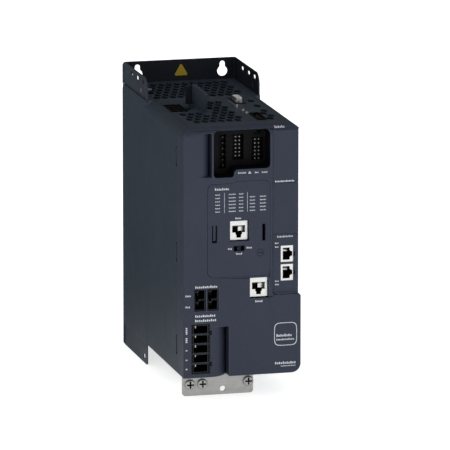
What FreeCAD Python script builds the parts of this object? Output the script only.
# Book-style servo drive, mounted upright on a cabinet's back wall.
#
# A plastic hood stands on a folded steel back plate, whose ears reach out above and below it.
# The front carries a cover with a connector bay, a display panel, network jacks, DC bus sockets
# and a motor header. A strip of option modules closes its right side. Mains and encoder
# connectors come out of the meshed top. A finned heatsink with a fan fills the rear half,
# and the power and control boards fill the front half.
#
# Frame: X to the right, Y towards the wall, Z up. The origin is on the floor, under the middle
# of the bounding box. Depths in this file count from the front face, backwards.

import FreeCAD, Part
import math
import os

Vec = FreeCAD.Vector
RIGHT, BACK, UP = Vec(1, 0, 0), Vec(0, 1, 0), Vec(0, 0, 1)

# ---------------------------------------------------------------- driving sizes, mm
WIDTH = 110.0
HEIGHT = 270.0
DEPTH = 234.5
HALF = WIDTH / 2

HOOD_BOTTOM = 21.0
HOOD_TOP = 250.0
HOOD_WALL = 2.5
HOOD_RADIUS = 9.5          # top edges and the lower right corner
SHOULDER = 140.0           # depth where the square rear part starts to rise out of the rounded hood
COVER_DEPTH = 19.4         # front face to the seam between cover and hood
SEAM = 0.2

SHEET = 1.2                # folded steel of the wall plate and its ears
BRACKET_SHEET = 2.0
PLATE_FRONT = DEPTH - SHEET
EAR_FACE = 53.6            # outer face of the ears
EAR_FRONT = 144.0          # front edge of the upper ears
EAR_FOOT = 248.2           # the upper ears stand in grooves of the hood
LOWER_EAR_FRONT = 146.0
CLIP_SLOT = ((165.0, 167.0), (253.2, 257.1))   # depth and height of the slot in the ears
KEYHOLE_X = 40.8
FIXING_Z = (6.3, 264.3)    # lower holes and keyhole tops, 258 mm apart
FIXING_RADIUS = 2.6

STRIP_LEFT = 27.8          # notch for the option modules
STRIP_BOTTOM = 93.8
STRIP_TOP = 245.8
MODULE_X = (28.0, 53.0)
MODULE_FRONT = 1.0
MODULE_JOINTS = (149.8, 196.8)

BAY_X = (-26.9, 25.9)      # connector bay
BAY_TOP = 247.0
BAY_SHELF = (-7.2, 211.2)  # the bay's floor steps down to the left of this corner
BAY_BOTTOM = 204.2
BAY_DEPTH = 19.2
LIP = 1.5                  # wall between bay and finger scoop
SCOOP_RADIUS = 14.3
SCOOP_Z = (205.0, 245.0)
COVE_WALL_X = -12.7        # cable cove beside the motor header
COVE_RADIUS = 17.5
COVE_TOP = 67.2

PANEL_X = (-32.6, 25.6)    # display panel
PANEL_Z = (112.8, 198.6, 200.3)
LOCK = (16.5, 133.9)       # quarter-turn lock of the panel
KNOB = (-3.3, 138.7)       # selector switch
KNOB_TRAVEL = 2.5

MAIN_BOARD = 28.5          # front face of the control board
POWER_BOARD = 130.0        # front face of the power board
BOARD = 1.6
SINK_FRONT = 150.0         # front face of the heatsink's base
FAN_CENTRE = 191.0
FAN_SIZE = 80.0
FAN_Z = (26.0, 51.0)


# ---------------------------------------------------------------- drawing helpers
def at(x, depth, z):
    """Point at x, a depth behind the front face, and z."""
    return Vec(x, depth - DEPTH / 2, z)


def block(x, depth, z):
    """Box between two x values, two depths and two heights."""
    return Part.makeBox(x[1] - x[0], depth[1] - depth[0], z[1] - z[0], at(x[0], depth[0], z[0]))


def rod(start, radius, length, axis):
    """Cylinder from start (x, depth, z) along axis."""
    return Part.makeCylinder(radius, length, at(*start), axis)


def join(first, *others):
    """One solid out of touching or overlapping solids."""
    return first.fuse(list(others)).removeSplitter()


def group(solids):
    """Separate solids in one node."""
    return Part.makeCompound(list(solids))


def rounded_wire(corners, place):
    """Closed outline through (a, b, radius) corners, each with a tangent arc of its radius."""
    flat = [Vec(a, b, 0) for a, b, radius in corners]
    turns = []
    for i, (a, b, radius) in enumerate(corners):
        corner = flat[i]
        back = (flat[i - 1] - corner).normalize()
        ahead = (flat[(i + 1) % len(flat)] - corner).normalize()
        if radius <= 0:
            turns.append((corner, None, corner))
            continue
        half_angle = back.getAngle(ahead) / 2
        inwards = (back + ahead).normalize()
        reach = radius / math.tan(half_angle)
        nearest = corner + inwards * (radius / math.sin(half_angle) - radius)
        turns.append((corner + back * reach, nearest, corner + ahead * reach))
    edges = []
    for i, (start, middle, end) in enumerate(turns):
        following = turns[(i + 1) % len(turns)][0]
        if middle is not None:
            arc = Part.Arc(place(start.x, start.y), place(middle.x, middle.y), place(end.x, end.y))
            edges.append(arc.toShape())
        if (following - end).Length > 1e-6:
            edges.append(Part.makeLine(place(end.x, end.y), place(following.x, following.y)))
    return Part.Wire(edges)


def prism(wires, way):
    """Solid from an outline, with the further outlines as holes, pushed along way."""
    return Part.makeFace(wires, "Part::FaceMakerBullseye").extrude(way)


def front_prism(corners, near, far, holes=()):
    """Outline of (x, z, radius) corners, pushed from one depth to another."""
    wires = [rounded_wire(shape, lambda x, z: at(x, near, z)) for shape in [corners, *holes]]
    return prism(wires, BACK * (far - near))


def plan_prism(corners, low, high, holes=()):
    """Outline of (x, depth, radius) corners, pushed from one height to another."""
    wires = [rounded_wire(shape, lambda x, d: at(x, d, low)) for shape in [corners, *holes]]
    return prism(wires, UP * (high - low))


def side_prism(corners, left, right, holes=()):
    """Outline of (depth, z, radius) corners, pushed from one x to another."""
    wires = [rounded_wire(shape, lambda d, z: at(left, d, z)) for shape in [corners, *holes]]
    return prism(wires, RIGHT * (right - left))


def rectangle(first, second, radius=0.0):
    """Corners of a rectangle, all with one radius."""
    return [(first[0], second[0], radius), (first[1], second[0], radius),
            (first[1], second[1], radius), (first[0], second[1], radius)]


def grown(span, by):
    """Span made longer by the same amount at both ends."""
    return (span[0] - by, span[1] + by)


# ---------------------------------------------------------------- steel and heatsink
def back_plate():
    """Wall plate with keyholes on top, holes below, and four ears folded forwards."""
    plate = front_prism(rectangle((-HALF, HALF), (0, HEIGHT), 3), PLATE_FRONT, DEPTH)
    upper = [(EAR_FRONT, EAR_FOOT, 1.5), (PLATE_FRONT, EAR_FOOT, 0),
             (PLATE_FRONT, HEIGHT, 0), (EAR_FRONT, HEIGHT, 11)]
    lower = [(LOWER_EAR_FRONT, 0, 3), (PLATE_FRONT, 0, 0), (PLATE_FRONT, HOOD_BOTTOM, 0),
             (LOWER_EAR_FRONT, HOOD_BOTTOM, 0)]
    ears = []
    for left in (-EAR_FACE, EAR_FACE - SHEET):
        right = left + SHEET
        holes = [side_prism(rectangle((d - 4.5, d + 4.5), (262.6, 266.4), 1.8), left, right)
                 for d in (160, 181, 204)]
        holes.append(block((left, right), *CLIP_SLOT))
        ears.append(side_prism(upper, left, right).cut(holes))
        tie_slot = side_prism(rectangle((153.0, 161.5), (4.2, 8.6), 2.1), left, right)
        ears.append(side_prism(lower, left, right).cut(tie_slot))
    plate = join(plate, *ears)
    openings = []
    for side in (-1, 1):
        x = side * KEYHOLE_X
        openings.append(rod((x, PLATE_FRONT, 257.3), 4.9, SHEET, BACK))
        openings.append(rod((x, PLATE_FRONT, FIXING_Z[1]), FIXING_RADIUS, SHEET, BACK))
        slot_x = (x - FIXING_RADIUS, x + FIXING_RADIUS)
        openings.append(block(slot_x, (PLATE_FRONT, DEPTH), (257.3, FIXING_Z[1])))
        openings.append(rod((x, PLATE_FRONT, FIXING_Z[0]), FIXING_RADIUS, SHEET, BACK))
        relief = (x / KEYHOLE_X * (EAR_FACE + HALF) / 2 - 1, x / KEYHOLE_X * (EAR_FACE + HALF) / 2 + 1)
        openings.append(block(grown(relief, 0.6), (PLATE_FRONT, DEPTH), (HOOD_TOP - 4, HOOD_TOP)))
    return plate.cut(openings)


def ear_clip():
    """Flat zinc-plated tab through the left ear's slot: a wide head outside, a narrow tail inside."""
    middle = sum(CLIP_SLOT[0]) / 2
    depth = (middle - 0.6, middle + 0.6)
    head = block((-EAR_FACE - 0.8, -EAR_FACE + SHEET + 0.8), depth, CLIP_SLOT[1])
    tail = block((-EAR_FACE + SHEET, -43.8), depth, (255.2, 256.8))
    return join(head, tail)


def heatsink():
    """Extruded aluminium: a base plate with upright fins behind it."""
    base = (-47.0, 47.0)
    fin, pitch, count = 2.0, 8.0, 12
    base_back, fin_back = SINK_FRONT + 7.0, 230.0
    outline = [(base[0], SINK_FRONT, 0), (base[0], base_back, 0)]
    first = -pitch * (count - 1) / 2
    for i in range(count):
        x = first + i * pitch
        outline += [(x - fin / 2, base_back, 0), (x - fin / 2, fin_back, 0),
                    (x + fin / 2, fin_back, 0), (x + fin / 2, base_back, 0)]
    outline += [(base[1], base_back, 0), (base[1], SINK_FRONT, 0)]
    body = plan_prism(outline, 56.0, 240.0)
    threads = [rod((x, SINK_FRONT, z), 2.1, 7.0, BACK) for x, z in MODULE_SCREWS]
    return body.cut(threads)


def ground_bracket():
    """Galvanised angle under the hood: its front tab takes the cable screens and the earth."""
    x, tab = (-51.5, 14.7), (19.0, 19.0 + BRACKET_SHEET)
    radius, inner_top = 3.0, HOOD_BOTTOM - BRACKET_SHEET
    outline = [(tab[0], 0, 0), (tab[1], 0, 0), (tab[1], inner_top, radius - BRACKET_SHEET),
               (80.0, inner_top, 0), (80.0, HOOD_BOTTOM, 0), (tab[0], HOOD_BOTTOM, radius)]
    body = side_prism(outline, *x)
    tab_view = front_prism([(x[0], 0, 3), (x[1], 0, 3), (x[1], HOOD_BOTTOM, 0),
                            (x[0], HOOD_BOTTOM, 0)], 0, 100)
    body = body.common(tab_view)
    holes = [rod((sx, tab[0], sz), 2.75, BRACKET_SHEET, BACK) for sx, sz in GROUND_SCREWS]
    holes.append(rod((-13.8, tab[0], 5.2), FIXING_RADIUS, BRACKET_SHEET, BACK))
    return body.cut(holes)


def ground_screws():
    """Three cross-recess pan screws in the front tab."""
    screws = []
    for x, z in GROUND_SCREWS:
        head = rod((x, 16.6, z), 4.8, 2.4, BACK)
        edge = [e for e in head.Edges if abs(e.Vertexes[0].Y - at(0, 16.6, 0).y) < 0.01 and e.Closed]
        head = head.makeFillet(1.4, edge[:1])
        shank = rod((x, 19.0, z), 2.4, 8.0, BACK)
        cross = [block((x - 3.2, x + 3.2), (16.5, 18.6), (z - 0.7, z + 0.7)),
                 block((x - 0.7, x + 0.7), (16.5, 18.6), (z - 3.2, z + 3.2))]
        screws.append(join(head, shank).cut(cross))
    return group(screws)


GROUND_SCREWS = [(-44.5, 10.6), (-32.9, 10.9), (10.0, 11.2)]


# ---------------------------------------------------------------- hood and front cover
def casing(inset):
    """The hood's outer shape moved inwards by inset: its front, side and plan views overlapped."""
    half = HALF - inset
    low, high = HOOD_BOTTOM + inset, HOOD_TOP - inset
    arc = HOOD_RADIUS - inset
    rear_start = SHOULDER + inset
    front_end = rear_start + HOOD_RADIUS + 2
    front_view = [(-half, low, 0), (half, low, arc), (half, high, arc), (-half, high, arc)]
    side_view = [(inset, low, 0), (front_end, low, 0), (front_end, high, 0), (inset, high, arc)]
    plan_view = [(-half, inset, max(1.2 - inset, 0)), (half, inset, 3.2 - inset),
                 (half, front_end, 0), (-half, front_end, 0)]
    front_part = front_prism(front_view, 0, front_end)
    front_part = front_part.common(side_prism(side_view, -HALF, HALF))
    front_part = front_part.common(plan_prism(plan_view, 0, HEIGHT))
    rear_part = plan_prism([(-half, rear_start, arc), (half, rear_start, arc),
                            (half, PLATE_FRONT, 0), (-half, PLATE_FRONT, 0)], low, high)
    return join(front_part, rear_part)


def rolled_recess(wall_x, radius, low, high):
    """Void that rolls back from the front face on a quarter circle until it meets a wall."""
    start = wall_x - radius
    half_way = radius * math.sqrt(0.5)
    arc = Part.Arc(at(start, 0, low), at(start + half_way, radius - half_way, low),
                   at(wall_x, radius, low)).toShape()
    rest = Part.makePolygon([at(wall_x, radius, low), at(wall_x, -1, low),
                             at(start, -1, low), at(start, 0, low)])
    return prism([Part.Wire([arc, *rest.Edges])], UP * (high - low))


def bay_outline(gap=0.0):
    """Corners of the connector bay's opening, grown by gap."""
    left, right = grown(BAY_X, gap)
    shelf_x, shelf_z = BAY_SHELF
    return [(left, BAY_BOTTOM - gap, 3.5), (shelf_x - 1.2 + gap, BAY_BOTTOM - gap, 2.5),
            (shelf_x + gap, shelf_z - gap, 2.5), (right, shelf_z - gap, 4.0),
            (right, BAY_TOP + gap, 4.5), (left, BAY_TOP + gap, 5.0)]


def panel_outline(gap=0.0):
    """Corners of the display panel, whose top edge steps down on the left."""
    left, right = grown(PANEL_X, gap)
    bottom, step, top = PANEL_Z
    return [(left, bottom - gap, 6), (right, bottom - gap, 6), (right, top + gap, 6),
            (-7.0, top + gap, 2), (-9.0, step + gap, 2), (left, step + gap, 6)]


# Latches that hold cover and hood together: side, height of the middle
LATCHES = [(-1, 220.7), (-1, 133.2), (-1, 47.0), (1, 47.0)]


def latch_tongue(side, z):
    """Snap tongue inside the hood's wall, with a nose that sits in the hood's window."""
    inner = HALF - HOOD_WALL
    root = block((inner - 1.7, inner + 0.5), (8, COVER_DEPTH), (z - 7, z + 7))
    arm = block((inner - 1.7, inner - 0.25), (8, 31), (z - 7, z + 7))
    nose = block((inner - 1, HALF - 0.6), (24.2, 28.6), (z - 7, z + 7))
    tongue = join(root, arm, nose)
    if side < 0:
        tongue = tongue.mirror(Vec(0, 0, 0), RIGHT)
    return tongue


def front_cover():
    """Front moulding with its skirt, bay, scoop, cove and windows."""
    outer = casing(0)
    beyond = HALF + 1
    outline = [(-beyond, 0, 0), (HALF, 0, 0), (HALF, STRIP_BOTTOM, 3), (STRIP_LEFT, STRIP_BOTTOM, 3.5),
               (STRIP_LEFT, STRIP_TOP, 0.6), (beyond, STRIP_TOP, 0), (beyond, HEIGHT, 0),
               (-beyond, HEIGHT, 0)]
    body = outer.common(front_prism(outline, -1, COVER_DEPTH))
    rib = STRIP_LEFT - 1.6
    hollow = [(-beyond, 0, 0), (beyond, 0, 0), (beyond, STRIP_BOTTOM - HOOD_WALL, 0),
              (rib, STRIP_BOTTOM - HOOD_WALL, 0), (rib, HEIGHT, 0), (-beyond, HEIGHT, 0)]
    body = body.cut(casing(HOOD_WALL).common(front_prism(hollow, -1, COVER_DEPTH + 1)))

    scoop_wall = BAY_X[0] - LIP
    scoop_back = block((scoop_wall - SCOOP_RADIUS - 2, BAY_X[0]), (2, BAY_DEPTH),
                       grown(SCOOP_Z, 2.5)).common(outer)
    cove_back = block((COVE_WALL_X - COVE_RADIUS - 2, COVE_WALL_X + 2), (2, COVER_DEPTH),
                      (HOOD_BOTTOM, COVE_TOP + 2))
    tongues = [latch_tongue(side, z) for side, z in LATCHES]
    body = join(body, scoop_back, cove_back, *tongues)

    voids = [front_prism(bay_outline(), -1, COVER_DEPTH + 1),
             rolled_recess(scoop_wall, SCOOP_RADIUS, *SCOOP_Z),
             rolled_recess(COVE_WALL_X, COVE_RADIUS, 0, COVE_TOP),
             front_prism(panel_outline(0.3), -1, HOOD_WALL + 0.5),
             front_prism(rectangle(grown(BUS_JACK_X, 0.7), (91.8, 110.8), 0.5), -1, HOOD_WALL + 0.5),
             front_prism(rectangle(grown(MOTOR_X, 0.3), grown(MOTOR_Z, 0.3)), -1, COVER_DEPTH + 1)]
    for x in DC_SOCKET_X:
        voids.append(block(x, (-1, HOOD_WALL + 0.5), DC_SOCKET_Z))
    for z in CODING_Z:
        voids.append(block((MOTOR_X[1] - 1, MOTOR_X[1] + 2.4), (-1, COVER_DEPTH + 1), grown(z, 0.3)))
    return body.cut(voids)


def housing_shell():
    """Hood behind the cover: side walls, floor with air slots and fan opening, open top."""
    shell = casing(0).cut(casing(HOOD_WALL))
    shell = shell.common(block((-HALF, HALF), (COVER_DEPTH + SEAM, PLATE_FRONT), (0, HEIGHT)))
    openings = [plan_prism(rectangle(GRILLE_X, GRILLE_D, 5), HOOD_TOP - 5, HOOD_TOP + 1),
                rod((0, FAN_CENTRE, HOOD_BOTTOM - 1), GUARD_RADIUS, 5, UP)]
    for side, z in LATCHES:
        x = sorted((side * (HALF + 1), side * (HALF - HOOD_WALL - 0.5)))
        openings.append(block(x, (23.8, 29.0), (z - 9.2, z + 9.2)))
        openings.append(block(sorted((side * (EAR_FACE - SHEET - 0.3), side * (EAR_FACE + 0.3))),
                              (EAR_FRONT - 0.5, PLATE_FRONT + 1),
                              (EAR_FOOT - 0.2, HOOD_TOP + 1)))
    for i in range(9):
        x = -40 + 10 * i
        openings.append(plan_prism(rectangle((x - 1.6, x + 1.6), (92, 132), 1.5), 20, 24))
    return shell.cut(openings)


GRILLE_X = (-45.5, 45.5)
GRILLE_D = (26.5, 229.0)
LID = 1.2                  # thickness of the meshed lid
MAINS_NOTCH = ((-45.5, -17.2), (82.0, 137.0))
PORT_PLATE = ((21.0, 31.0), (106.5, 136.5))
TOP_HEADER = ((21.2, 30.0), (28.0, 60.0))
LIGHT_PIPES = [(19.8, 75.0), (19.9, 61.8)]
LABEL_STRIP = ((12.0, 18.5), (28.0, 140.0))


def top_grille():
    """Meshed lid: long hexagonal holes wherever no connector, strip, band or margin is in the way."""
    pitch, width, length = 7.6, 6.4, 14.0
    row_step = 0.75 * length + 1.6
    margin_x, margin_d = width / 2 + 0.7, length / 2 + 0.7
    solid_zones = [MAINS_NOTCH, ((19.0, 33.0), (90, 137)), TOP_HEADER, LABEL_STRIP,
                   ((-18.5, -13.0), (72, 122)), ((15.0, 30.0), (58, 92)),
                   ((-46.0, -43.0), (27, 138)), ((-46.0, 46.0), (127.5, 138.5))]
    holes = []
    row = 0
    depth = GRILLE_D[0] + margin_d
    while depth < GRILLE_D[1] - margin_d:
        x = GRILLE_X[0] + margin_x + (row % 2) * pitch / 2
        while x < GRILLE_X[1] - margin_x:
            clear = all(x < zx[0] - margin_x or x > zx[1] + margin_x
                        or depth < zd[0] - margin_d or depth > zd[1] + margin_d
                        for zx, zd in solid_zones)
            if clear:
                holes.append([(x + dx * width / 2, depth + dd * length / 4, 0)
                              for dx, dd in ((0, 2), (1, 1), (1, -1), (0, -2), (-1, -1), (-1, 1))])
            x += pitch
        depth += row_step
        row += 1
    notch_x, notch_d = MAINS_NOTCH
    outline = [(GRILLE_X[0], GRILLE_D[0], 5), (GRILLE_X[1], GRILLE_D[0], 5),
               (GRILLE_X[1], GRILLE_D[1], 5), (GRILLE_X[0], GRILLE_D[1], 5),
               (GRILLE_X[0], notch_d[1], 0), (notch_x[1], notch_d[1], 2),
               (notch_x[1], notch_d[0], 2), (GRILLE_X[0], notch_d[0], 0)]
    holes.append(rectangle(grown(PORT_SHELL[0], 0.3), grown(PORT_SHELL[1], 0.3)))
    holes.append(rectangle(*TOP_HEADER))
    lid = plan_prism(outline, HOOD_TOP - LID, HOOD_TOP, holes)
    pipes = [rod((x, d, HOOD_TOP - 5), 1.4, 6, UP) for x, d in LIGHT_PIPES]
    screws = [rod((x, d, HOOD_TOP - 5), 1.4, 6, UP) for x, d in PORT_SCREWS]
    return lid.cut(pipes + screws)


def partition_fin():
    """Upright insulating fin between the mains header and the control ports, with a return wall."""
    outline = [(75, HOOD_TOP, 0), (119, HOOD_TOP, 0), (121, 268.4, 2), (71, 268.4, 2)]
    return_wall = block((-23.0, -15.0), (118.6, 120.4), (HOOD_TOP, 266.4))
    return join(side_prism(outline, -16.6, -14.2), return_wall)


GUARD_RADIUS = 39.0


def fan_guard():
    """Finger guard in the floor under the fan: rings on four spokes."""
    low, high = HOOD_BOTTOM, HOOD_BOTTOM + 1.6
    centre = (0, FAN_CENTRE, low)
    rings = []
    for outer, width in ((GUARD_RADIUS, 2.0), (30, 1.4), (21.5, 1.4), (13, 1.4)):
        ring = rod(centre, outer, high - low, UP).cut(rod(centre, outer - width, high - low, UP))
        rings.append(ring)
    reach = GUARD_RADIUS - 0.5
    spokes = [block((-reach, reach), (FAN_CENTRE - 0.8, FAN_CENTRE + 0.8), (low, high)),
              block((-0.8, 0.8), (FAN_CENTRE - reach, FAN_CENTRE + reach), (low, high))]
    return join(rings[0], *rings[1:], *spokes)


# ---------------------------------------------------------------- fan
HUB_RADIUS = 16.5
SPINDLE = 1.5


def fan_frame():
    """Square fan frame with a round duct, and a hub on three struts that holds the bearing."""
    half = FAN_SIZE / 2
    low, high = FAN_Z
    body = plan_prism(rectangle((-half, half), (FAN_CENTRE - half, FAN_CENTRE + half), 4), low, high)
    body = body.cut(rod((0, FAN_CENTRE, low), 38.0, high - low, UP))
    corner = 71.5 / 2
    holes = [rod((x, FAN_CENTRE + d, low), 2.2, high - low, UP)
             for x in (-corner, corner) for d in (-corner, corner)]
    body = body.cut(holes)
    hub = [rod((0, FAN_CENTRE, low), HUB_RADIUS, 2.0, UP), rod((0, FAN_CENTRE, low), 4.0, 18.0, UP)]
    for i in range(3):
        strut = block((HUB_RADIUS - 2, 39), (FAN_CENTRE - 1.5, FAN_CENTRE + 1.5), (low, low + 2.0))
        strut.rotate(at(0, FAN_CENTRE, 0), UP, 120 * i + 30)
        hub.append(strut)
    body = join(body, *hub)
    return body.cut(rod((0, FAN_CENTRE, low + 1), SPINDLE + 0.06, 20, UP))


def fan_rotor():
    """Cup hub with its spindle and seven pitched blades."""
    low, high = FAN_Z[0] + 3.0, FAN_Z[1] - 1.0
    tip, count, pitch_angle = 36.8, 7, 38
    cup = rod((0, FAN_CENTRE, low), HUB_RADIUS, high - low, UP)
    cup = cup.cut(rod((0, FAN_CENTRE, low), HUB_RADIUS - 1.8, high - low - 2, UP))
    spindle = rod((0, FAN_CENTRE, low), SPINDLE, high - low, UP)
    blades = []
    for i in range(count):
        blade = block((HUB_RADIUS - 1.2, tip + 3), (FAN_CENTRE - 12, FAN_CENTRE + 12), (-0.8, 0.8))
        blade.rotate(at(0, FAN_CENTRE, 0), RIGHT, pitch_angle)
        blade.translate(UP * (low + high) / 2)
        blade.rotate(at(0, FAN_CENTRE, 0), UP, 360.0 * i / count)
        blades.append(blade)
    swept = rod((0, FAN_CENTRE, low), tip, high - low, UP)
    inside = rod((0, FAN_CENTRE, low), HUB_RADIUS - 1.2, high - low, UP)
    ring = swept.cut(inside)
    return join(cup, spindle, *[blade.common(ring) for blade in blades])


# ---------------------------------------------------------------- connector bay
RELAY_HEADER = ((-18.7, -9.6), (208.1, 241.1))
MIDDLE_HEADER = ((-5.6, 6.4), (215.7, 240.5))
RIGHT_HEADER = ((12.3, 24.5), (214.8, 237.3))
BAY_WINDOW = ((15.1, 21.6), (239.3, 242.3))


def connector_tray():
    """Dark tray behind the bay's opening; the three headers come through its floor."""
    wall = 1.2
    outer = front_prism(bay_outline(wall), HOOD_WALL, BAY_DEPTH + 1.4)
    outer = outer.common(casing(HOOD_WALL))
    body = outer.cut(front_prism(bay_outline(), 0, BAY_DEPTH))
    left_wall = block((BAY_X[0] - wall - 1, BAY_X[0]), (0, BAY_DEPTH), (BAY_BOTTOM - 2, BAY_TOP + 3))
    holes = [block(grown(x, 0.05), (BAY_DEPTH - 1, BAY_DEPTH + 2), grown(z, 0.05))
             for x, z in (RELAY_HEADER, MIDDLE_HEADER, RIGHT_HEADER, BAY_WINDOW)]
    rib = block((STRIP_LEFT - 1.6, STRIP_LEFT), (0, COVER_DEPTH), (0, HEIGHT))
    scoop_lip = block((BAY_X[0] - wall, BAY_X[0]), (0, BAY_DEPTH), grown(SCOOP_Z, 2.5))
    return body.cut([left_wall, rib, scoop_lip] + holes)


def pin_header(area, cavity_wall, cavity_depth):
    """Header body flush with the tray's floor, open towards the front."""
    x, z = area
    body = block(x, (BAY_DEPTH, MAIN_BOARD), z)
    well = block(grown(x, -cavity_wall), (BAY_DEPTH - 1, BAY_DEPTH + cavity_depth), grown(z, -cavity_wall))
    return body.cut(well)


def pin_places(centre_x, columns, top, rows, pitch):
    """Places of a header's pins, column by column from the top down."""
    return [(centre_x + c, top - r * pitch) for c in columns for r in range(rows)]


def header_pins(places, size, front):
    """Square pins from a depth to the control board."""
    half = size / 2
    return group([block((x - half, x + half), (front, MAIN_BOARD), (z - half, z + half))
                  for x, z in places])


HEADER_WELL = 7.6
RELAY_PINS = pin_places(-14.2, (1.5,), 236.8, 6, 5.15)
MIDDLE_PINS = pin_places(0.4, (-1.75, 1.75), 237.2, 6, 3.5)
RIGHT_PINS = pin_places(18.4, (-1.75, 1.75), 234.0, 6, 3.5)


def drilled(body, places, size):
    """Body with a square hole for each pin, from its well to its back."""
    half = size / 2
    holes = [block((x - half, x + half), (BAY_DEPTH, MAIN_BOARD + 1), (z - half, z + half))
             for x, z in places]
    return body.cut(holes)


def relay_header():
    """Six-way header with coding lugs along both sides of its opening."""
    body = pin_header(RELAY_HEADER, 0.9, HEADER_WELL)
    x, z = RELAY_HEADER
    lugs = []
    for i in range(6):
        height = 236.8 - 5.15 * i
        lugs.append(block((x[1] - 1.6, x[1] - 0.5), (BAY_DEPTH, BAY_DEPTH + 6), grown((height, height), 1.2)))
        lugs.append(block((x[0] + 0.5, x[0] + 1.6), (BAY_DEPTH, BAY_DEPTH + 6),
                          grown((height + 2.4, height + 2.4), 0.9)))
    return drilled(join(body, *lugs), RELAY_PINS, 1.2)


# ---------------------------------------------------------------- display panel
def control_cover():
    """Display panel with its clip slots, jack window, switch window and lock boss."""
    front, back = HOOD_WALL, HOOD_WALL + 1.1
    plate = front_prism(panel_outline(), 0, front)
    flange = front_prism(panel_outline(1.5), front, back).common(block((-50, STRIP_LEFT - 1.6), (0, 9),
                                                                        (0, HEIGHT)))
    boss = rod((LOCK[0], front, LOCK[1]), 5.0, 2.7, BACK)
    body = join(plate, flange, boss)
    tongue = front_prism(rectangle((-27.4, -25.2), (146.6, 161.5), 0.9), 0.4, front)
    body = body.cut([block((-28.5, -23.8), (-1, back), (144.8, 160.7)),
                     block((18.2, 21.2), (-1, back), (144.8, 160.3)),
                     front_prism(rectangle(HMI_WINDOW[0], HMI_WINDOW[1], 0.5), -1, back + 1),
                     block((-8.4, 1.8), (-1, back + 1), (136.2, 141.2)),
                     rod((LOCK[0], -1, LOCK[1]), 3.45, 3.2, BACK),
                     rod((LOCK[0], 0, LOCK[1]), 2.26, 9, BACK)])
    return join(body, tongue)


def panel_lock():
    """Slotted quarter-turn lock: head in front, cam behind the boss."""
    x, z = LOCK
    head = rod((x, 0.2, z), 3.1, 1.8, BACK)
    shaft = rod((x, 2.0, z), 2.2, 3.5, BACK)
    cam = front_prism(rectangle((x - 4.5, x + 4.5), (z - 1.6, z + 1.6), 1.5), 5.5, 7.3)
    slot = block((x - 2.2, x + 2.2), (0, 1.1), (z - 0.55, z + 0.55))
    return join(head, shaft, cam).cut(slot)


def selector_switch_body():
    """Slide switch behind the panel: a trough for the knob, and legs to the board."""
    x, z = (-9.6, 3.0), (134.6, 142.8)
    front = HOOD_WALL + 1.1
    body = block(x, (front, 9.5), z).cut(block(grown(x, -1.0), (0, 8.0), grown(z, -1.3)))
    legs = [block((lx - 0.3, lx + 0.3), (9.5, MAIN_BOARD), (138.4, 139.0)) for lx in (-7.3, -3.3, 0.7)]
    return join(body, *legs)


def selector_knob():
    """Ribbed knob of the three-position slide switch."""
    x, z = KNOB
    knob = block((x - 1.7, x + 1.7), (0.8, 7.7), (z - 2.0, z + 2.0))
    grooves = [block((x + i - 0.2, x + i + 0.2), (0, 1.2), (z - 3, z + 3)) for i in (-0.9, 0, 0.9)]
    return knob.cut(grooves)


# ---------------------------------------------------------------- network jacks
HMI_JACK_X = (-10.9, 5.2)
HMI_JACK_Z = (146.0, 163.3)
HMI_WINDOW = ((-11.7, 6.0), (145.2, 164.3))
BUS_JACK_X = (7.6, 23.7)
BUS_JACK_Z = (92.7, 110.0)
JACK_FRONT = 3.5
JACK_SKIN = 0.4
ETHERNET_X = (36.0, 47.4)
ETHERNET_Z = [(123.6, 138.6), (106.4, 121.4)]
ETHERNET_FRONT = 2.0


def upright_port(x, z):
    """Opening of an upright jack: a wide slot that steps down to the latch notch."""
    left, low = x[0], z[0]
    middle = left + 8.05
    return [(left + 2.0, low + 6.8, 0), (middle - 3.1, low + 6.8, 0), (middle - 3.1, low + 4.8, 0),
            (middle - 2.2, low + 4.8, 0), (middle - 2.2, low + 2.0, 0), (middle + 2.2, low + 2.0, 0),
            (middle + 2.2, low + 4.8, 0), (middle + 3.1, low + 4.8, 0), (middle + 3.1, low + 6.8, 0),
            (left + 14.1, low + 6.8, 0), (left + 14.1, low + 13.2, 0), (left + 2.0, low + 13.2, 0)]


def sideways_port(x, z):
    """The same kind of opening lying on its side, with the latch notch to the right."""
    left, low = x[0], z[0]
    middle = low + 7.5
    return [(left + 1.8, low + 1.9, 0), (left + 8.3, low + 1.9, 0), (left + 8.3, middle - 3.0, 0),
            (left + 9.2, middle - 3.0, 0), (left + 9.2, middle - 2.2, 0), (left + 10.8, middle - 2.2, 0),
            (left + 10.8, middle + 2.2, 0), (left + 9.2, middle + 2.2, 0), (left + 9.2, middle + 3.0, 0),
            (left + 8.3, middle + 3.0, 0), (left + 8.3, low + 13.1, 0), (left + 1.8, low + 13.1, 0)]


def jack_shield(x, z, front, port):
    """Thin metal can round a jack, with the port cut in its face."""
    can = block(x, (front, MAIN_BOARD), z)
    core = block(grown(x, -JACK_SKIN), (front + JACK_SKIN, MAIN_BOARD + 1), grown(z, -JACK_SKIN))
    return can.cut([core, front_prism(port, front - 1, front + 2)])


def jack_insert(x, z, front, port, slots):
    """Plastic core of a jack, hollowed behind the port, with a slot for each contact."""
    core = block(grown(x, -JACK_SKIN), (front + JACK_SKIN, MAIN_BOARD), grown(z, -JACK_SKIN))
    return core.cut([front_prism(port, front - 1, front + 14.0), *slots])


def contact_row(start, step, size, count=8):
    """Row of equal boxes, each moved on by one step from the last."""
    contacts = []
    for i in range(count):
        one = block(*size)
        one.translate(Vec(*start) + Vec(*step) * i)
        contacts.append(one)
    return contacts


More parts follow.
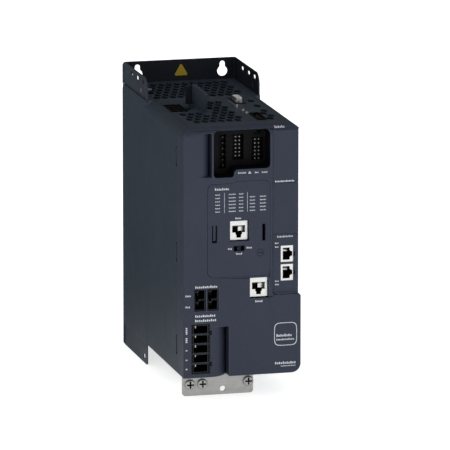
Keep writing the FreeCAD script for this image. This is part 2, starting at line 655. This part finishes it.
def upright_contacts(x, z, front, slack=0.0):
    """Eight spring contacts hanging from the top of an upright jack's cavity."""
    first = x[0] + 8.05 - 3.5 * 1.02
    width = 0.22 + slack
    size = ((-width, width), (front + 4.0 - slack, front + 20.0), (z[0] + 12.2 - slack, z[0] + 13.6))
    return contact_row((first, 0, 0), (1.02, 0, 0), size)


def sideways_contacts(x, z, front, slack=0.0):
    """Eight spring contacts on the left of a sideways jack's cavity."""
    first = z[0] + 7.5 - 3.5 * 1.02
    width = 0.22 + slack
    size = ((x[0] + 1.4, x[0] + 2.8 + slack), (front + 4.0 - slack, front + 20.0), (-width, width))
    return contact_row((0, 0, first), (0, 0, 1.02), size)


# ---------------------------------------------------------------- option modules
def module_box(z, bottom_radius=0.6):
    """Hollow module, open at the back, with a soft right front edge."""
    front_view = [(MODULE_X[0], z[0], bottom_radius), (MODULE_X[1], z[0], 0.6),
                  (MODULE_X[1], z[1], 0.6), (MODULE_X[0], z[1], 0.6)]
    plan_view = [(MODULE_X[0], MODULE_FRONT, 0.6), (MODULE_X[1], MODULE_FRONT, 4.0),
                 (MODULE_X[1], COVER_DEPTH, 0), (MODULE_X[0], COVER_DEPTH, 0)]
    body = front_prism(front_view, 0, COVER_DEPTH).common(plan_prism(plan_view, 0, HEIGHT))
    hollow = block(grown(MODULE_X, -1.8), (MODULE_FRONT + 2, COVER_DEPTH + 1), grown(z, -1.8))
    return body.common(casing(0)).cut(hollow)


def safety_slot_cover():
    """Blank cover of the upper option slot."""
    return module_box((MODULE_JOINTS[1] + 0.2, STRIP_TOP - 0.2))


def encoder_slot_cover():
    """Blank cover of the middle option slot."""
    return module_box((MODULE_JOINTS[0] + 0.2, MODULE_JOINTS[1] - 0.2))


def ethernet_module():
    """Network module with two jack windows and a finger scoop along its lower edge."""
    z = (STRIP_BOTTOM + 0.2, MODULE_JOINTS[0] - 0.2)
    body = module_box(z, 4.5)
    scoop = rod((MODULE_X[0] - 1, MODULE_FRONT - 14.6, z[0] + 1.5), 16.0, 40, RIGHT)
    lower = block((20, 60), (0, 6), (z[0] + 1.5, z[0] + 9.5))
    windows = [front_prism(rectangle(grown(ETHERNET_X, 0.2), grown(one, 0.2)), 0, 4)
               for one in ETHERNET_Z]
    notches = [block((ETHERNET_X[1] - 1, ETHERNET_X[1] + 1.5), (0, 4),
                     ((one[0] + one[1]) / 2 - 2.3, (one[0] + one[1]) / 2 + 2.3)) for one in ETHERNET_Z]
    return body.cut([scoop.common(lower), *windows, *notches])


# ---------------------------------------------------------------- power connectors
DC_SOCKET_X = [(-45.2, -34.1), (-33.1, -22.3)]
DC_SOCKET_Z = (82.5, 102.7)
MOTOR_X = (-47.7, -30.7)
MOTOR_Z = (24.8, 70.7)
MOTOR_CELLS = 5
MOTOR_CELL = 7.0           # height of each cell's opening
CODING_Z = [(60.6, 64.4), (31.4, 35.2)]
MAINS_X = (-44.6, -28.0)
MAINS_D = (84.0, 122.0)
MAINS_TOP = 249.6
MAINS_CELLS = 4


def dc_bus_sockets():
    """Two sockets for the DC link, each split by a stepped shelf."""
    sockets = []
    for x in DC_SOCKET_X:
        body = block(x, (1.2, 34), DC_SOCKET_Z)
        left, right = grown(x, -1.1)
        step = left + 3.6
        low, high = grown(DC_SOCKET_Z, -1.1)
        lower = [(left, low, 0), (right, low, 0), (right, 91.8, 0), (step, 91.8, 0),
                 (step, 90.0, 0), (left, 90.0, 0)]
        upper = [(left, 91.4, 0), (step, 91.4, 0), (step, 93.4, 0), (right, 93.4, 0),
                 (right, high, 0), (step, high, 0), (step, high - 1.4, 0), (left, high - 1.4, 0)]
        sockets.append(body.cut([front_prism(lower, 0, 26), front_prism(upper, 0, 26)]))
    return group(sockets)


def dc_bus_blades():
    """Contact blade in each half of the two DC sockets."""
    blades = []
    for x in DC_SOCKET_X:
        middle = (x[0] + x[1]) / 2 + 0.9
        for z in (87.2, 96.6):
            blades.append(block((middle - 0.4, middle + 0.4), (13.0, 26.0), (z - 2.2, z + 1.6)))
    return group(blades)


def motor_cell_tops():
    """Top edge of each motor cell's opening, from the lowest up."""
    pitch = 8.95
    first = MOTOR_Z[0] + 1.55 + MOTOR_CELL
    return [first + i * pitch for i in range(MOTOR_CELLS)]


def motor_header():
    """Five-way motor header with dividing ribs and two coding lugs."""
    body = block(MOTOR_X, (0.5, 34), MOTOR_Z)
    lugs = [block((MOTOR_X[1] - 1, MOTOR_X[1] + 2.1), (0.5, 20), z) for z in CODING_Z]
    body = join(body, *lugs)
    cuts = []
    for top in motor_cell_tops():
        cuts.append(block((MOTOR_X[0] + 2.1, MOTOR_X[1] - 1.9), (0, 28), (top - MOTOR_CELL, top)))
        if top < MOTOR_Z[1] - 6:
            cuts.append(block((MOTOR_X[0] + 0.8, MOTOR_X[1] - 0.8), (0, 1.4), (top + 0.7, top + 1.2)))
    return body.cut(cuts)


def motor_header_blades():
    """One contact blade in each motor cell."""
    return group([block((-42.4, -41.6), (8.0, 28.0), (top - 3.6, top - 0.6)) for top in motor_cell_tops()])


def mains_tray():
    """Well in the hood's top round the mains header, with a sloping lead-in behind it."""
    x, depth = MAINS_NOTCH
    floor = 243.0
    walls = plan_prism([(x[0], depth[0], 0), (x[1], depth[0], 2), (x[1], depth[1], 2),
                        (x[0], depth[1], 0)], floor - 1.5, HOOD_TOP)
    inner_x, inner_d = (x[0] + 0.2, x[1] - 1.2), (depth[0] + 1.0, depth[1] - 1.0)
    well = block(inner_x, inner_d, (floor, HOOD_TOP + 1))
    ramp = side_prism([(MAINS_D[1] + 1.5, floor, 0), (inner_d[1], floor, 0), (inner_d[1], HOOD_TOP, 0),
                       (inner_d[1] - 2.0, HOOD_TOP, 0), (MAINS_D[1] + 1.5, floor + 2.5, 0)], *inner_x)
    bank = front_prism([(MAINS_X[1] + 0.6, floor, 0), (inner_x[1], floor, 0), (inner_x[1], HOOD_TOP, 0),
                        (MAINS_X[1] + 0.6, floor + 4, 0)], inner_d[0], 100.0)
    body = join(walls.cut(well), ramp, bank)
    return body.cut(block(grown(MAINS_X, 0.4), grown(MAINS_D, 0.4), (230, floor + 0.5)))


def mains_header():
    """Four-way mains header that opens upwards, with three chambers to each way."""
    body = block(MAINS_X, MAINS_D, (222.0, MAINS_TOP))
    pitch = (MAINS_D[1] - MAINS_D[0]) / MAINS_CELLS
    cuts = []
    for i in range(MAINS_CELLS):
        near = MAINS_D[0] + i * pitch + 1.2
        for x in ((MAINS_X[0] + 1.4, -37.6), (-36.5, -33.0), (-31.9, MAINS_X[1] - 1.2)):
            cuts.append(block(x, (near, near + pitch - 2.4), (229.0, MAINS_TOP + 1)))
    return body.cut(cuts)


def mains_header_blades():
    """One contact blade in the widest chamber of each way."""
    pitch = (MAINS_D[1] - MAINS_D[0]) / MAINS_CELLS
    middle = MAINS_D[0] + pitch / 2
    return group([block((-42.2, -38.6), (middle + i * pitch - 0.5, middle + i * pitch + 0.5), (229, 241))
                  for i in range(MAINS_CELLS)])


# ---------------------------------------------------------------- ports on the top
PORT_SHELL = ((22.5, 29.5), (114.0, 129.0))
PORT_SCREWS = [(26.0, 109.4), (26.0, 133.6)]


def encoder_port_shell():
    """Encoder port: a pressed plate with a raised, rounded metal shell."""
    plate_z = (HOOD_TOP, HOOD_TOP + 0.8)
    shell_z = (HOOD_TOP + 0.8, HOOD_TOP + 4.6)
    opening = rectangle(grown(PORT_SHELL[0], -0.6), grown(PORT_SHELL[1], -0.6), 2.0)
    plate = plan_prism(rectangle(*PORT_PLATE, 1.5), *plate_z, [opening])
    wall = plan_prism(rectangle(*PORT_SHELL, 2.6), *shell_z, [opening])
    holes = [rod((x, d, HOOD_TOP), 1.5, 2, UP) for x, d in PORT_SCREWS]
    return join(plate, wall).cut(holes)


def earth_strip():
    """Thin upright earthing strip on the lid, with a round stud at its front end."""
    strip = block((17.2, 17.9), (94.5, 121.0), (HOOD_TOP, HOOD_TOP + 1.4))
    foot = block((17.2, 19.4), (95.0, 97.5), (HOOD_TOP, HOOD_TOP + 0.7))
    stud = rod((18.6, 93.4, HOOD_TOP), 1.3, 2.4, UP)
    return join(strip, foot, stud)


def port_pins():
    """Two rows of pins in the encoder port, the right row set half a pitch back."""
    pins = []
    for x, first in ((24.9, 116.2), (27.1, 117.4)):
        for i in range(5):
            pins.append(rod((x, first + 2.4 * i, HOOD_TOP - 6), 0.45, 9.9, UP))
    return pins


def encoder_port_insert():
    """White insulator inside the encoder port's shell."""
    opening = rectangle(grown(PORT_SHELL[0], -0.6), grown(PORT_SHELL[1], -0.6), 2.0)
    body = plan_prism(opening, HOOD_TOP - 6, HOOD_TOP + 3.8)
    return body.cut(port_pins())


def port_screws():
    """Two small screws that hold the encoder port's plate."""
    screws = []
    for x, d in PORT_SCREWS:
        head = rod((x, d, HOOD_TOP + 0.8), 2.1, 1.8, UP)
        shank = rod((x, d, HOOD_TOP - 5), 1.3, 5.8, UP)
        slot = block((x - 2.5, x + 2.5), (d - 0.3, d + 0.3), (HOOD_TOP + 1.8, HOOD_TOP + 3))
        screws.append(join(head, shank).cut(slot))
    return group(screws)


def sensor_header():
    """Black two-row header that opens upwards."""
    x, depth = TOP_HEADER
    body = block(x, depth, (HOOD_TOP - 10, HOOD_TOP + 1.0))
    return body.cut([block(grown(x, -1.0), grown(depth, -1.0), (HOOD_TOP - 7, HOOD_TOP + 2))])


def sensor_header_pins():
    """Two rows of pins standing in the header's well."""
    middle = (TOP_HEADER[0][0] + TOP_HEADER[0][1]) / 2
    pins = []
    for x in (middle - 1.75, middle + 1.75):
        for i in range(8):
            depth = TOP_HEADER[1][0] + 3.8 + 3.5 * i
            pins.append(block((x - 0.5, x + 0.5), (depth - 0.5, depth + 0.5), (HOOD_TOP - 7, HOOD_TOP - 0.5)))
    return group(pins)


def light_pipes():
    """Two clear light guides for the status lamps."""
    return group([rod((x, d, HOOD_TOP - 5), 1.4, 6.2, UP) for x, d in LIGHT_PIPES])


def triangle_sticker():
    """Plain triangular sticker on the back plate, with nothing printed on it."""
    face = PLATE_FRONT
    return front_prism([(-5.9, 254.8, 1.2), (7.9, 254.8, 1.2), (1.0, 266.6, 1.2)], face - 0.3, face)


# ---------------------------------------------------------------- inside
MODULE_SCREWS = [(x, z) for x in (-33.5, 14.0) for z in (64.0, 116.0, 144.0, 186.0)]
POST_PLACES = [(-43.0, 61.0), (23.0, 75.5), (-43.0, 235.0), (43.0, 235.0)]
CAPACITORS = [(x, z) for x in (8.0, 38.0) for z in (58.0, 93.0, 128.0)]
CHOKE = (-20.0, 188.0)


def power_module(z):
    """Flat semiconductor module with a screw hole in each corner."""
    body = front_prism(rectangle((-37.5, 18.0), z, 2), SINK_FRONT - 11, SINK_FRONT)
    cover = front_prism(rectangle((-28.0, 8.5), grown(z, -6), 2), SINK_FRONT - 14, SINK_FRONT - 11)
    holes = [rod((x, SINK_FRONT - 12, sz), 2.3, 13, BACK) for x, sz in MODULE_SCREWS]
    return join(body, cover).cut(holes)


def module_screws():
    """Screws that clamp both modules to the heatsink."""
    screws = []
    for x, z in MODULE_SCREWS:
        head = rod((x, SINK_FRONT - 14, z), 3.6, 3.0, BACK)
        shank = rod((x, SINK_FRONT - 11, z), 1.9, 17.0, BACK)
        screws.append(join(head, shank))
    return group(screws)


def power_board():
    """Board that carries the capacitors and the choke."""
    body = front_prism(rectangle((-48, 48), (40, 240), 2), POWER_BOARD, POWER_BOARD + BOARD)
    return body.cut([rod((x, POWER_BOARD, z), 1.6, 2, BACK) for x, z in POST_PLACES])


def board_posts():
    """Threaded posts between heatsink and power board, each with its screw head."""
    posts = []
    for x, z in POST_PLACES:
        post = rod((x, POWER_BOARD + BOARD, z), 3.2, SINK_FRONT - POWER_BOARD - BOARD, BACK)
        screw = rod((x, POWER_BOARD - 1, z), 1.5, 3, BACK)
        head = rod((x, POWER_BOARD - 3, z), 3.0, 3, BACK)
        posts.append(join(post, screw, head))
    return group(posts)


def dc_capacitors():
    """Link capacitors standing on the power board."""
    cans = []
    end = at(0, POWER_BOARD - 52, 0).y
    for x, z in CAPACITORS:
        can = rod((x, POWER_BOARD - 52, z), 14.0, 52, BACK)
        front = [e for e in can.Edges if e.Closed and abs(e.Vertexes[0].Y - end) < 0.1]
        cans.append(can.makeFillet(1.2, front[:1]))
    return group(cans)


def filter_choke():
    """Ring choke lying against the power board."""
    return Part.makeTorus(21.0, 8.5, at(CHOKE[0], POWER_BOARD - 8.5, CHOKE[1]), BACK)


def control_board():
    """Board behind the headers and jacks, cut away round the DC sockets."""
    outline = [(-19.0, 78, 1), (24.0, 78, 1), (24.0, 239, 0), (20.8, 239, 0), (20.8, 244, 1),
               (-50.0, 244, 1), (-50.0, 107, 1), (-19.0, 107, 1)]
    return front_prism(outline, MAIN_BOARD, MAIN_BOARD + BOARD)


def ribbon_cable():
    """Flat cable with its two plugs, from the control board to the power board."""
    x, z = (-18.0, 6.0), (149.0, 150.2)
    near, far = MAIN_BOARD + BOARD, POWER_BOARD
    band = block(x, (near, far), z)
    plugs = [block(grown(x, 1.5), (near, near + 7), (146.8, 152.4)),
             block(grown(x, 1.5), (far - 7, far), (146.8, 152.4))]
    return join(band, *plugs)


# ---------------------------------------------------------------- the assembly
def upright_jack(prefix, x, z):
    """Shield, insert and contacts of one upright jack."""
    port = upright_port(x, z)
    slots = upright_contacts(x, z, JACK_FRONT, 0.05)
    return {prefix + "_shield": jack_shield(x, z, JACK_FRONT, port),
            prefix + "_insert": jack_insert(x, z, JACK_FRONT, port, slots),
            prefix + "_contacts": group(upright_contacts(x, z, JACK_FRONT))}


def ethernet_jacks():
    """Shields, inserts and contacts of the two sideways jacks."""
    shields, inserts, contacts = [], [], []
    for z in ETHERNET_Z:
        port = sideways_port(ETHERNET_X, z)
        slots = sideways_contacts(ETHERNET_X, z, ETHERNET_FRONT, 0.05)
        shields.append(jack_shield(ETHERNET_X, z, ETHERNET_FRONT, port))
        inserts.append(jack_insert(ETHERNET_X, z, ETHERNET_FRONT, port, slots))
        contacts += sideways_contacts(ETHERNET_X, z, ETHERNET_FRONT)
    return {"ethernet_jack_shields": group(shields), "ethernet_jack_inserts": group(inserts),
            "ethernet_jack_contacts": group(contacts)}


def assembly():
    """Every sub-part by its node name."""
    parts = {make.__name__: make() for make in (
        back_plate, ear_clip, earth_strip, heatsink, ground_bracket, ground_screws,
        housing_shell, top_grille, partition_fin, fan_guard, fan_frame, fan_rotor,
        front_cover, connector_tray, relay_header,
        control_cover, panel_lock, selector_switch_body, selector_knob, safety_slot_cover,
        encoder_slot_cover, ethernet_module, dc_bus_sockets, dc_bus_blades, motor_header,
        motor_header_blades, mains_tray, mains_header, mains_header_blades, encoder_port_shell,
        encoder_port_insert, port_screws, sensor_header, sensor_header_pins, light_pipes,
        triangle_sticker, module_screws, power_board, board_posts, dc_capacitors, filter_choke,
        control_board, ribbon_cable)}
    parts["relay_header_pins"] = header_pins(RELAY_PINS, 1.2, BAY_DEPTH + 4.0)
    for name, area, places in (("io_header_middle", MIDDLE_HEADER, MIDDLE_PINS),
                               ("io_header_right", RIGHT_HEADER, RIGHT_PINS)):
        parts[name] = drilled(pin_header(area, 0.8, HEADER_WELL), places, 1.0)
        parts[name + "_pins"] = header_pins(places, 1.0, BAY_DEPTH + 1.8)
    parts["encoder_port_pins"] = group(port_pins())
    parts["inverter_module"] = power_module((58.0, 122.0))
    parts["rectifier_module"] = power_module((138.0, 192.0))
    parts.update(upright_jack("hmi_jack", HMI_JACK_X, HMI_JACK_Z))
    parts.update(upright_jack("fieldbus_jack", BUS_JACK_X, BUS_JACK_Z))
    parts.update(ethernet_jacks())
    return parts


def export(parts):
    """One STEP file per node."""
    os.makedirs("parts", exist_ok=True)
    for name, shape in sorted(parts.items()):
        if not shape.isValid():
            print("not valid:", name)
        shape.exportStep("parts/" + name + ".step")
        box = shape.BoundBox
        print(f"{name:24s} solids {len(shape.Solids):3d}  faces {len(shape.Faces):5d}"
              f"  x {box.XMin:7.2f} {box.XMax:7.2f}  y {box.YMin:7.2f} {box.YMax:7.2f}"
              f"  z {box.ZMin:7.2f} {box.ZMax:7.2f}")
    print(len(parts), "nodes")


export(assembly())
